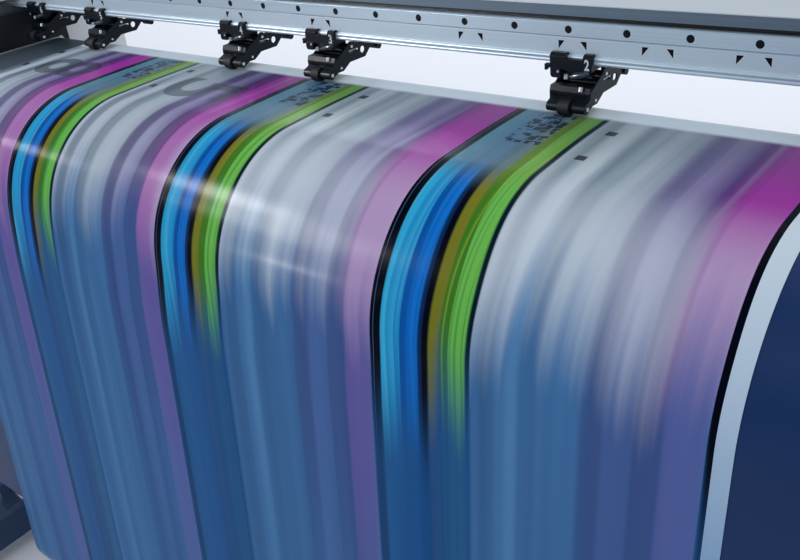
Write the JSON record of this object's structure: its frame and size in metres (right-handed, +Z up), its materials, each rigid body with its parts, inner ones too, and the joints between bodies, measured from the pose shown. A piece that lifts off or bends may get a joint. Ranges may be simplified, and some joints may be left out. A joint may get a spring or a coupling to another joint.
{
  "type": "wide-format roll printing press",
  "caption": "Floor-standing press for wide rolls: a printed web runs under a beam with sliding, sprung pinch-roller units, over a platen and down a curved apron to a take-up roll.",
  "frame": {"origin": "on the floor, under the middle of the machine's box", "axes": "+X along the beam to the right, seen from the front; +Y from the apron to the back; +Z up"},
  "size_m": [2, 0.86, 1.11],
  "materials": {
    "stand_paint": "satin dark blue powder coat",
    "foot_steel": "zinc-plated steel",
    "bed_aluminium": "grey anodised",
    "platen_anodised": "dark anodised, grooved",
    "bright_trim": "bright anodised",
    "apron_paint": "satin dark blue",
    "steel_shaft": "ground",
    "black_paint": "satin black",
    "housing_cover": "fine-textured light grey",
    "beam_aluminium": "satin anodised",
    "rail_steel": "ground",
    "strip_anthracite": "anthracite anodised",
    "web_vinyl": "glossy printed vinyl with stripes",
    "roll_stock": "wound vinyl on card cores",
    "unit_black": "glass-filled nylon, satin black",
    "roller_rubber": "ground rubber tyre"
  },
  "bodies": {
    "root": {"levelling_feet": "foot_steel", "foot_beams": "stand_paint", "legs": "stand_paint", "stand_crossbars": "stand_paint", "bed_beam": "bed_aluminium", "platen": "platen_anodised", "platen_rims": "bright_trim", "apron": "apron_paint", "apron_ribs": "bed_aluminium", "rear_guide": "apron_paint", "feed_shaft": "steel_shaft", "side_frame_left": "black_paint", "side_frame_right": "black_paint", "end_housing_left": "housing_cover", "end_housing_right": "housing_cover", "rail_beam": "beam_aluminium", "guide_rail": "rail_steel", "beam_face_strip": "strip_anthracite", "beam_top_cover": "beam_aluminium", "printed_web": "web_vinyl", "supply_roll": "roll_stock", "supply_spindle": "steel_shaft", "supply_brackets": "stand_paint", "take_up_roll": "roll_stock", "take_up_spindle": "steel_shaft", "take_up_brackets": "stand_paint"},
    "unit_1": {"pinch_clamp_1": "unit_black"},
    "arm_1": {"pinch_arm_1": "unit_black"},
    "roller_1": {"pinch_roller_1": "roller_rubber"},
    "unit_2": {"pinch_clamp_2": "unit_black"},
    "arm_2": {"pinch_arm_2": "unit_black"},
    "roller_2": {"pinch_roller_2": "roller_rubber"},
    "unit_3": {"pinch_clamp_3": "unit_black"},
    "arm_3": {"pinch_arm_3": "unit_black"},
    "roller_3": {"pinch_roller_3": "roller_rubber"},
    "unit_4": {"pinch_clamp_4": "unit_black"},
    "arm_4": {"pinch_arm_4": "unit_black"},
    "roller_4": {"pinch_roller_4": "roller_rubber"},
    "unit_5": {"pinch_clamp_5": "unit_black"},
    "arm_5": {"pinch_arm_5": "unit_black"},
    "roller_5": {"pinch_roller_5": "roller_rubber"},
    "unit_6": {"pinch_clamp_6": "unit_black"},
    "arm_6": {"pinch_arm_6": "unit_black"},
    "roller_6": {"pinch_roller_6": "roller_rubber"}
  },
  "joints": [
    {"name": "unit_1_slide", "type": "slide", "parent": "root", "child": "unit_1", "axis": [1, 0, 0], "range_m": [-0.097, 0.05]},
    {"name": "arm_1_tilt", "type": "hinge", "parent": "unit_1", "child": "arm_1", "pos_m": [0.536, 0.019, 0.9325], "axis": [-1, 0, 0], "range_deg": [0, 3.5], "stiffness_Nm_per_rad": 0.5, "springref_deg": -11.46},
    {"name": "roller_1_spin", "type": "hinge", "parent": "arm_1", "child": "roller_1", "pos_m": [0.536, -0.02, 0.9083], "axis": [1, 0, 0], "continuous": true},
    {"name": "unit_2_slide", "type": "slide", "parent": "root", "child": "unit_2", "axis": [1, 0, 0], "range_m": [-0.135, 0.097]},
    {"name": "arm_2_tilt", "type": "hinge", "parent": "unit_2", "child": "arm_2", "pos_m": [0.282, 0.019, 0.9325], "axis": [-1, 0, 0], "range_deg": [0, 3.5], "stiffness_Nm_per_rad": 0.5, "springref_deg": -11.46},
    {"name": "roller_2_spin", "type": "hinge", "parent": "arm_2", "child": "roller_2", "pos_m": [0.282, -0.02, 0.9083], "axis": [1, 0, 0], "continuous": true},
    {"name": "unit_3_slide", "type": "slide", "parent": "root", "child": "unit_3", "axis": [1, 0, 0], "range_m": [-0.047, 0.135]},
    {"name": "arm_3_tilt", "type": "hinge", "parent": "unit_3", "child": "arm_3", "pos_m": [-0.0485, 0.019, 0.9325], "axis": [-1, 0, 0], "range_deg": [0, 3.5], "stiffness_Nm_per_rad": 0.5, "springref_deg": -11.46},
    {"name": "roller_3_spin", "type": "hinge", "parent": "arm_3", "child": "roller_3", "pos_m": [-0.0485, -0.02, 0.9083], "axis": [1, 0, 0], "continuous": true},
    {"name": "unit_4_slide", "type": "slide", "parent": "root", "child": "unit_4", "axis": [1, 0, 0], "range_m": [-0.121, 0.047]},
    {"name": "arm_4_tilt", "type": "hinge", "parent": "unit_4", "child": "arm_4", "pos_m": [-0.2017, 0.019, 0.9325], "axis": [-1, 0, 0], "range_deg": [0, 3.5], "stiffness_Nm_per_rad": 0.5, "springref_deg": -11.46},
    {"name": "roller_4_spin", "type": "hinge", "parent": "arm_4", "child": "roller_4", "pos_m": [-0.2017, -0.02, 0.9083], "axis": [1, 0, 0], "continuous": true},
    {"name": "unit_5_slide", "type": "slide", "parent": "root", "child": "unit_5", "axis": [1, 0, 0], "range_m": [-0.049, 0.121]},
    {"name": "arm_5_tilt", "type": "hinge", "parent": "unit_5", "child": "arm_5", "pos_m": [-0.5035, 0.019, 0.9325], "axis": [-1, 0, 0], "range_deg": [0, 3.5], "stiffness_Nm_per_rad": 0.5, "springref_deg": -11.46},
    {"name": "roller_5_spin", "type": "hinge", "parent": "arm_5", "child": "roller_5", "pos_m": [-0.5035, -0.02, 0.9083], "axis": [1, 0, 0], "continuous": true},
    {"name": "unit_6_slide", "type": "slide", "parent": "root", "child": "unit_6", "axis": [1, 0, 0], "range_m": [-0.008, 0.049]},
    {"name": "arm_6_tilt", "type": "hinge", "parent": "unit_6", "child": "arm_6", "pos_m": [-0.662, 0.019, 0.9325], "axis": [-1, 0, 0], "range_deg": [0, 3.5], "stiffness_Nm_per_rad": 0.5, "springref_deg": -11.46},
    {"name": "roller_6_spin", "type": "hinge", "parent": "arm_6", "child": "roller_6", "pos_m": [-0.662, -0.02, 0.9083], "axis": [1, 0, 0], "continuous": true}
  ]
}
